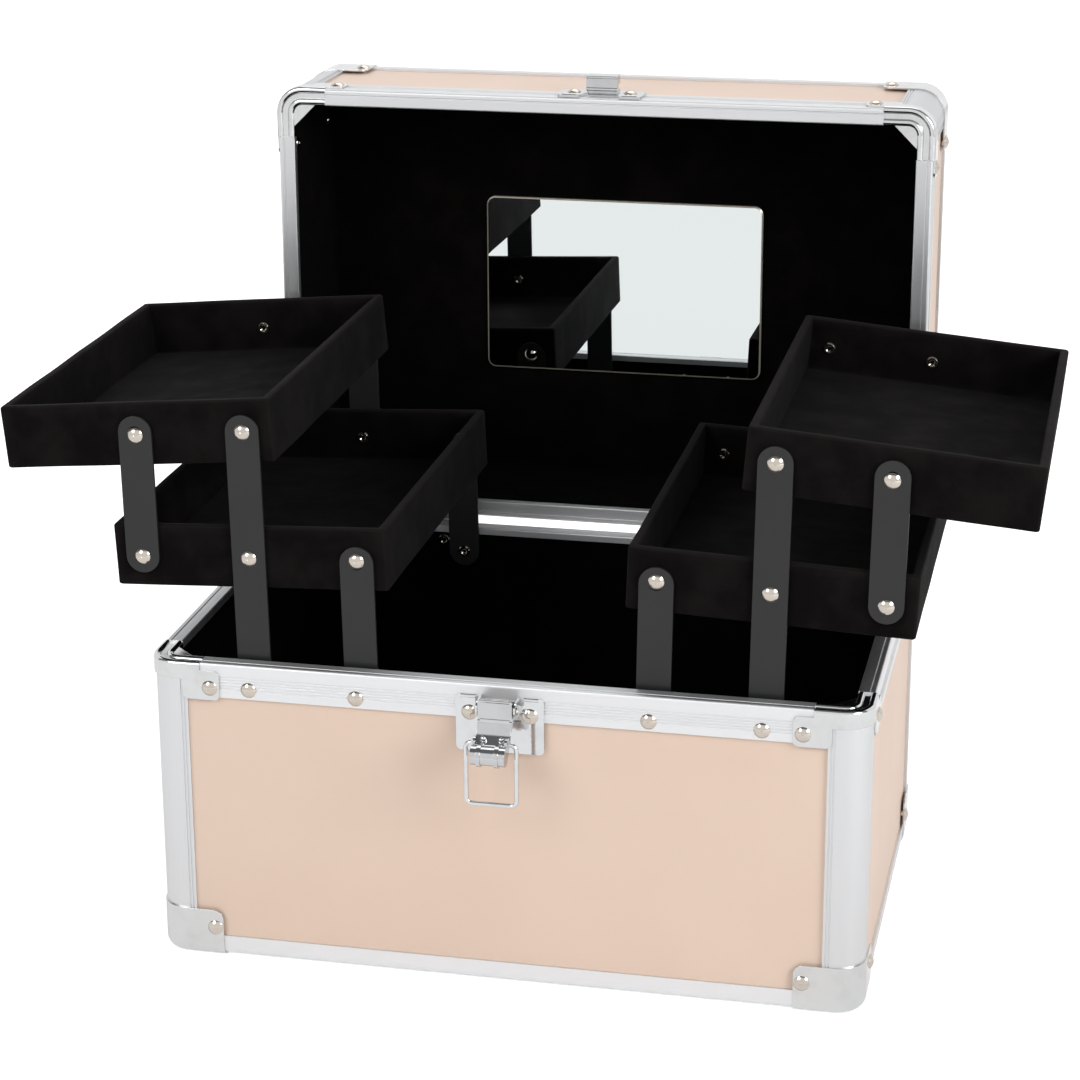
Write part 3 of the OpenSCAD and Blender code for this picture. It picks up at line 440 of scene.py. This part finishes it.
def make_velvet(name, dark, pale, glow, rubbed):
    """Velvet from a dark to a pale colour. Glow is its sheen, rubbed what wear adds.

    The share of the pale colour is the patches of nap, plus the single hairs, plus the wear,
    which shows half evenly and half on the hairs, and never more than one.
    """
    finish = Finish(name, IOR=1.4, Specular_IOR_Level=0.08, Sheen_Weight=glow, Sheen_Roughness=0.35)
    pile = finish.noise(0.45 * MM, 2, 0.7)
    nap = finish.span(finish.noise(22 * MM, 4, 0.6), 0.35, 0.7)
    edge = finish.node("ShaderNodeAttribute", {"attribute_name": "rub"}, output="Fac")
    lift = nap * NAP_SHARE + pile * PILE_SHARE + edge * (0.5 * rubbed + pile * rubbed)
    finish.feed("Base_Color", finish.colour(finish.maths("MINIMUM", lift, 1.0), dark, pale))
    finish.feed("Roughness", VELVET_DULL - nap * NAP_SHINE)
    finish.bump(pile + nap * 0.6, PILE_DEPTH)
    return finish


tray_velvet = make_velvet(
    "tray_velvet", (0.0022, 0.0017, 0.0017), (0.0095, 0.0080, 0.0078), glow=0.029, rubbed=1.0)
# The linings' copy is darker and has less sheen: painted shade for the inside of the case.
lining_velvet_painted_shade = make_velvet(
    "lining_velvet_painted_shade", (0.0005, 0.0003, 0.0003), (0.0030, 0.0019, 0.0017), glow=0.010, rubbed=0.4)
print("velvets:", tray_velvet.material.name, lining_velvet_painted_shade.material.name)

# %% [markdown]
# ## Skins of rings
# The soft pieces are all closed boxes with rounded corners. Such a box is a stack of rings: a
# profile runs from the middle of the inside floor, up the inner wall, over the rim, down the
# outside and back to the middle below, and every point of it becomes one rounded rectangle.
# Drawing the rings as a grid keeps the faces even, and a fan of triangles closes each end.

# %% Rounded rectangles
ARC_STEPS = 6
SIDE_STEPS = 26


def outlines(half_x, half_y, radius):
    """Rounded rectangles, one row for each half width, half depth and corner radius.

    A corner is a quarter circle about a point one radius in from both sides, and each side is
    cut evenly between two corners. Once round, counter-clockwise from above.
    """
    half_x, half_y, radius = (np.asarray(v, float)[:, None] for v in (half_x, half_y, radius))
    quarter = np.linspace(0, np.pi / 2, ARC_STEPS + 1)
    corners = []
    for turn, (sx, sy) in enumerate(((1, 1), (-1, 1), (-1, -1), (1, -1))):
        angle = quarter + turn * np.pi / 2
        corners.append(np.stack([sx * (half_x - radius) + radius * np.cos(angle),
                                 sy * (half_y - radius) + radius * np.sin(angle)], -1))
    share = np.arange(1, SIDE_STEPS)[:, None] / SIDE_STEPS
    parts = []
    for corner, following in zip(corners, corners[1:] + corners[:1]):
        start, end = corner[:, -1:], following[:, :1]
        parts += [corner, start + (end - start) * share]
    return np.concatenate(parts, 1)


def ring_faces(rows, cols):
    """Quads between neighbouring rings, and fans to a first and a last point of their own."""
    row, col = np.meshgrid(np.arange(rows - 1), np.arange(cols), indexing="ij")
    after = (col + 1) % cols
    quads = np.stack([row * cols + col, (row + 1) * cols + col,
                      (row + 1) * cols + after, row * cols + after], -1).reshape(-1, 4)
    col = np.arange(cols)
    after = (col + 1) % cols
    last = (rows - 1) * cols
    top = np.stack([np.full(cols, rows * cols), col, after], -1)
    bottom = np.stack([last + col, np.full(cols, rows * cols + 1), last + after], -1)
    return quads, np.concatenate([top, bottom])


def make_skin(name, rings, rub, finish):
    """A closed mesh from rings of points, with its rub attribute, smooth and dressed."""
    rows, cols = rings.shape[:2]
    points = np.concatenate([rings.reshape(-1, 3), rings[:1].mean(1), rings[-1:].mean(1)])
    quads, fans = ring_faces(rows, cols)
    mesh = bpy.data.meshes.new(name)
    mesh.from_pydata(points.tolist(), [], quads.tolist() + fans.tolist())
    mesh.polygons.foreach_set("use_smooth", np.ones(len(mesh.polygons), bool))
    values = np.append(np.repeat(rub, cols) if rub.ndim == 1 else rub.ravel(), [0, 0])
    mesh.attributes.new("rub", "FLOAT", "POINT").data.foreach_set("value", values.astype(np.float32))
    mesh.materials.append(finish.material)
    piece = bpy.data.objects.new(name, mesh)
    bpy.context.scene.collection.objects.link(piece)
    print(name, len(mesh.vertices), "points", len(mesh.polygons), "faces")
    return piece


# %% [markdown]
# ## The profile of a velvet box
# Cloth never turns a sharp corner, so the rim and the lower edge are rounded, the floor meets
# the wall in a small cove, and the floor itself is a little fuller in the middle, where the
# cloth lies loose. The profile is written once, for any wall, floor and height.

# %% Box profile
TURN_STEPS = 4
WALL_STEPS = 8
FLOOR_RINGS = np.array([0.1, 0.3, 0.5, 0.7, 0.85, 0.95, 0.985])


def arc(centre, radius, start, end):
    """Points of a circle's arc from start to end, in degrees from the first axis."""
    angle = np.radians(np.linspace(start, end, TURN_STEPS + 1))
    return np.stack([centre[0] + radius * np.cos(angle), centre[1] + radius * np.sin(angle)], -1)


def box_profile(height, wall, floor, turn, cove):
    """Inset from the outside and height above the bottom, from the cove to the lower edge.

    The rim's two turns and the lower edge are arcs of radius turn, the cove is an arc of its
    own radius, and the walls between them are cut into even steps.
    """
    up = np.linspace(floor + cove, height - turn, WALL_STEPS + 1)[1:-1]
    down = np.linspace(height - turn, turn, WALL_STEPS + 1)[1:-1]
    return np.concatenate([
        arc((wall + cove, floor + cove), cove, 270, 180),
        np.stack([np.full(len(up), wall), up], -1),
        arc((wall - turn, height - turn), turn, 0, 90),
        arc((turn, height - turn), turn, 90, 180),
        np.stack([np.zeros(len(down)), down], -1),
        arc((turn, turn), turn, 180, 270)])


def at_levels(flat, level):
    """Lifts each row of flat outlines to its own level."""
    heights = np.broadcast_to(level[:, None, None], (*flat.shape[:2], 1))
    return np.concatenate([flat, heights], -1)


def velvet_box(size, wall, floor, radii, turn, cove, crown):
    """Rings of an open box, about its middle, and how much each ring's cloth is rubbed.

    Inwards from the cove and from the lower edge the rings shrink towards the middle. The
    inside floor stands higher there, by crown times one minus the share squared. The cloth is
    rubbed from just below the rim's turn upwards.
    """
    half = np.array(size) / 2
    inset, level = box_profile(size[2], wall, floor, turn, cove).T
    radius = np.interp(inset, [0, wall], radii)
    share = FLOOR_RINGS
    as_many = np.ones(len(share))
    scale = np.concatenate([share, np.ones(len(inset)), share[::-1]])
    inset = np.concatenate([inset[0] * as_many, inset, inset[-1] * as_many])
    level = np.concatenate([floor + crown * (1 - share ** 2), level, 0 * as_many])
    radius = np.concatenate([radii[1] * as_many, radius, radii[0] * as_many])
    flat = outlines((half[0] - inset) * scale, (half[1] - inset) * scale, radius * scale)
    folded = np.clip((level - size[2] + 1.2 * turn) / turn, 0, 1)
    return at_levels(flat, level - half[2]), folded


# %% [markdown]
# ## Unevenness
# Velvet glued over board is never quite flat. Three slow waves, each along a direction of its
# own, are added up and press the surface inwards by a few tenths of a millimetre. They only
# press inwards, because the arms pass a third of a millimetre in front of the trays.

# %% Waves in the cloth
WAVE_COUNT = 3


def waves(points, length, seed):
    """A smooth field from 0 to 1: the mean of a few sine waves of that length in metres."""
    pick = np.random.default_rng(seed)
    total = np.zeros(points.shape[:-1])
    for _ in range(WAVE_COUNT):
        heading = pick.normal(size=3)
        heading /= np.linalg.norm(heading)
        total += np.sin(points @ heading * 2 * np.pi / length + pick.uniform(0, 2 * np.pi))
    return 0.5 + total / (2 * WAVE_COUNT)


def press_in(rings, depth, length, seed):
    """Moves every point towards the middle of its box by up to depth, as waves() says."""
    reach = np.abs(rings).max((0, 1))
    inwards = -rings / reach
    inwards /= np.maximum(np.linalg.norm(inwards, axis=-1, keepdims=True), 1e-9)
    return rings + inwards * (depth * waves(rings, length, seed))[..., None]


def side_lengths(node, lean, across):
    """The true size of a leaning box node, from its upright bounding box.

    A box of sides a and b that leans by an angle measures a cos + b sin one way and
    b cos + a sin the other. Across is the axis that stays level.
    """
    low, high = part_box(node)
    extent = np.array(high - low)
    first, second = [axis for axis in range(3) if axis != across]
    c, s = math.cos(abs(lean)), math.sin(abs(lean))
    extent[[first, second]] = np.linalg.solve([[c, s], [s, c]], extent[[first, second]])
    return extent, np.array((low + high) / 2)


# %% [markdown]
# ## Trays
# Each tray is five boards wrapped in velvet. The frame gives its place, and the trays droop
# outwards by an angle that follows from the play in their rivets. The cloth is folded round
# the corners, which leaves a worn line down each outer edge.

# %% Make the trays
TRAY_WALL = 4.5 * MM
TRAY_FLOOR = 4.0 * MM
TRAY_CORNERS = (1.6 * MM, 1.0 * MM)
TRAY_TURN = 1.3 * MM
TRAY_COVE = 0.9 * MM
TRAY_CROWN = 0.5 * MM
RUB_WIDTH = 2.2 * MM
PRESS_DEPTH = 0.35 * MM
PRESS_LENGTH = 60 * MM
LOWER_DROOP = math.radians(2.5)
UPPER_DROOP = math.radians(5.0)


def turn_about(axis, angle):
    return np.array(Matrix.Rotation(angle, 3, axis))


def corner_rub(rings, size):
    """Wear of the four upright outer edges: 1 on an edge and 0 from RUB_WIDTH away."""
    gap = np.array(size[:2]) / 2 - np.abs(rings[..., :2])
    return np.clip(1 - gap.max(-1) / RUB_WIDTH, 0, 1)


def make_tray(node, droop, seed):
    size, middle = side_lengths(node, droop, across=Y)
    rings, folded = velvet_box(size, TRAY_WALL, TRAY_FLOOR, TRAY_CORNERS, TRAY_TURN, TRAY_COVE, TRAY_CROWN)
    rub = np.maximum(folded[:, None], corner_rub(rings, size))
    rings = press_in(rings, PRESS_DEPTH, PRESS_LENGTH, seed)
    tray = make_skin(node + "_velvet", rings @ turn_about("Y", droop).T + middle, rub, tray_velvet)
    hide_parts(node)
    return tray


for level, droop in (("lower", LOWER_DROOP), ("upper", UPPER_DROOP)):
    for side, sign in zip(SIDES, (-1, 1)):
        name = f"{level}_tray_{side}"
        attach(make_tray(name, sign * droop, seed=len(undressed)), name)
        undressed.discard(name)

# %% [markdown]
# ## Linings
# Base and lid are lined with the same cloth, which also covers the corner posts on the inside.
# The lining is a thin skin, so it can pass in front of the posts' inner legs without touching
# Base and lid are lined with the same cloth, which also covers the corner posts on the inside.
# Its colour is the darker copy of the velvet, painted shade for the inside of the case. The lid's lining
# is made upright like the
# base's and then swung back with the lid.

# %% Make the linings
LID_OPEN = math.radians(90.5)
LINING_FACE = 8.0 * MM
LINING_SKIN = 0.26 * MM
LINING_FLOOR = 1.5 * MM
LINING_TURN = 0.12 * MM
LINING_COVE = 1.6 * MM
LINING_CROWN = 0.8 * MM
INNER_CORNER = 6.0 * MM
outer_half = np.array([HALF_WIDTH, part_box("base_edge_rails")[1].y])


def make_lining(node, lean, turn, depth_axis):
    """An open skin whose walls lie LINING_FACE inside the case. Nothing rubs against it."""
    size, middle = side_lengths(node, lean, across=X)
    reach = 2 * (outer_half - LINING_FACE + LINING_SKIN)
    rings, _ = velvet_box((*reach, size[depth_axis]), LINING_SKIN, LINING_FLOOR,
                          (INNER_CORNER, INNER_CORNER), LINING_TURN, LINING_COVE, LINING_CROWN)
    lining = make_skin(node + "_velvet", rings @ turn.T + middle, np.zeros(len(rings)), lining_velvet_painted_shade)
    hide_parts(node)
    return lining


lid_lean = math.pi / 2 - LID_OPEN
lid_turn = turn_about("X", math.pi - LID_OPEN)
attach(make_lining("base_lining", 0, np.eye(3), depth_axis=Z), "root")
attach(make_lining("lid_lining", lid_lean, lid_turn, depth_axis=Y), "lid")
undressed -= {"base_lining", "lid_lining"}

# %% [markdown]
# ## Mirror
# The mirror is a plate of silvered glass whose edge is ground to a narrow bevel, so that it
# can be handled. The bevel catches the light as a fine bright line all round. The front and
# the ground edge get a finish each.

# %% Make the mirror
BEVEL = 0.8 * MM
BEVEL_DROP = 0.6 * BEVEL
MIRROR_CORNER = 5 * MM
CLEAR = 0.008
BREATH = 0.02


def make_silver():
    """Silvered glass, almost clear, with a breath of dullness in patches."""
    finish = Finish("silvered_glass", Metallic=1.0, Base_Color=(0.695, 0.735, 0.730))
    breath = finish.span(finish.noise(20 * MM, 4, 0.6), 0.5, 0.8)
    finish.feed("Roughness", CLEAR + breath * BREATH)
    return finish


def make_ground_edge():
    """The ground bevel, through which the plate's warm backing shows."""
    finish = Finish("ground_edge", Metallic=0.6, Roughness=0.28)
    backing = finish.noise(4 * MM)
    finish.feed("Base_Color", finish.colour(backing, (0.55, 0.50, 0.42), (0.72, 0.68, 0.60)))
    return finish


def make_mirror(node):
    """Four rings: half way in, the inner and the outer edge of the bevel, and the back's edge."""
    size, middle = side_lengths(node, lid_lean, across=X)
    half_x, half_y, half_t = size[X] / 2, size[Z] / 2, size[Y] / 2
    inset = np.array([BEVEL, BEVEL, 0, 0])
    level = np.array([half_t, half_t, half_t - BEVEL_DROP, -half_t])
    scale = np.array([0.5, 1, 1, 1])
    flat = outlines((half_x - inset) * scale, (half_y - inset) * scale, (MIRROR_CORNER - inset) * scale)
    points = at_levels(flat, level) @ lid_turn.T + middle
    mirror = make_skin(node + "_plate", points, np.zeros(len(level)), make_silver())
    mirror.data.materials.append(make_ground_edge().material)
    cols = flat.shape[1]
    edge = np.zeros(len(mirror.data.polygons), int)
    edge[cols:3 * cols] = 1
    mirror.data.polygons.foreach_set("material_index", edge)
    mirror.data.polygons.foreach_set("use_smooth", np.zeros(len(edge), bool))
    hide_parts(node)
    return mirror


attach(make_mirror("mirror_glass"), "lid")
undressed.discard("mirror_glass")
print("nodes still plain:", sorted(undressed))

# %% [markdown]
# ## Stage and light
# The box stands on a plain white floor in soft light from a pale world and four large lamps.
# Rays that come from the camera, or that metal and glass reflect, see a brighter world than the
# one that lights the box, so the background is white while pale surfaces keep their colour.
# Bright metal only looks like metal when part of what it reflects is dark. A photographer leaves
# a dark strip between two soft boxes for that, and here the world that glossy rays see has one,
# high up in front of the box. It draws the dark arcs on the rivets and along the chrome.

# %% Floor and world
WORLD_LIGHT = 0.50
DARK_STRIP = (46, 56, 100, 116)
STRIP_DEPTH = 0.82
FLOOR_SIDE = 7.0
FLOOR_PAINT = 0.82
FLOOR_GLOW = 0.62
FLOOR_GLEAM = 0.24


def make_world():
    """A pale world, brighter for rays that are seen, with a dark strip for those that are glossy.

    The strip lies between four angles, counted from the horizon in front over the top: it
    darkens from the first to the second and clears again from the third to the fourth.
    """
    world = bpy.data.worlds.new("studio")
    bpy.context.scene.world = world
    world.use_nodes = True
    graph = Graph(world.node_tree)
    camera, glossy, through = [graph.node("ShaderNodeLightPath", output=name)
                               for name in ("Is Camera Ray", "Is Glossy Ray", "Is Transmission Ray")]
    bright = graph.maths("MAXIMUM", graph.maths("MAXIMUM", camera, glossy), through)
    split = graph.node("ShaderNodeSeparateXYZ", sockets={0: graph.node("ShaderNodeTexCoord")})
    _, y, z = [Wire(graph, out) for out in split.socket.node.outputs]
    over = graph.maths("ARCTAN2", z, y * -1)
    first, second, third, fourth = [math.radians(angle) for angle in DARK_STRIP]
    strip = graph.span(over, first, second) * (1 - graph.span(over, third, fourth))
    light = graph.node("ShaderNodeBackground", sockets={
        "Color": (1.0, 1.0, 1.0),
        "Strength": WORLD_LIGHT + bright * (1 - WORLD_LIGHT) - glossy * strip * STRIP_DEPTH})
    graph.node("ShaderNodeOutputWorld", sockets={0: light})


def make_floor():
    """A white square, brighter for the camera by FLOOR_GLOW and in reflections by FLOOR_GLEAM."""
    half = FLOOR_SIDE / 2
    corners = [(-half, -half, 0), (half, -half, 0), (half, half, 0), (-half, half, 0)]
    mesh = bpy.data.meshes.new("floor")
    mesh.from_pydata(corners, [], [(0, 1, 2, 3)])
    finish = Finish("floor_paint", Base_Color=(FLOOR_PAINT,) * 3, Roughness=0.9, Specular_IOR_Level=0.1)
    camera, glossy = [finish.node("ShaderNodeLightPath", output=name)
                      for name in ("Is Camera Ray", "Is Glossy Ray")]
    finish.feed("Emission_Strength", 1.0)
    glow = camera * FLOOR_GLOW + glossy * FLOOR_GLEAM
    finish.feed("Emission_Color", finish.colour(glow, (0, 0, 0), (1, 1, 1)))
    mesh.materials.append(finish.material)
    floor = bpy.data.objects.new("floor", mesh)
    bpy.context.scene.collection.objects.link(floor)


make_world()
make_floor()

# %% Lamps
middle = (Vector(cad_box[0]) + Vector(cad_box[1])) / 2


def lamp(name, place, side, watts, gleams=True):
    """A round area lamp, aimed at the middle of the box. One that gleams shows in reflections."""
    data = bpy.data.lights.new(name, "AREA")
    data.shape = "DISK"
    data.size = side
    data.energy = watts
    light = bpy.data.objects.new(name, data)
    bpy.context.scene.collection.objects.link(light)
    light.location = place
    light.visible_glossy = gleams
    light.rotation_euler = (middle - Vector(place)).to_track_quat("-Z", "Y").to_euler()
    print(name, "at", place, watts, "W")


lamp("key_lamp", (-1.3, -1.9, 1.7), 1.4, 20.5)
lamp("fill_lamp", (1.9, -1.2, 1.2), 1.2, 28)
lamp("top_lamp", (0.0, 0.9, 2.1), 1.6, 8)
lamp("back_lamp", (-0.7, 2.3, 1.0), 1.4, 15, gleams=False)

# %% [markdown]
# ## Last steps
# The colours are shown as they are written.

# %% Finish
bpy.context.scene.view_settings.view_transform = "Standard"
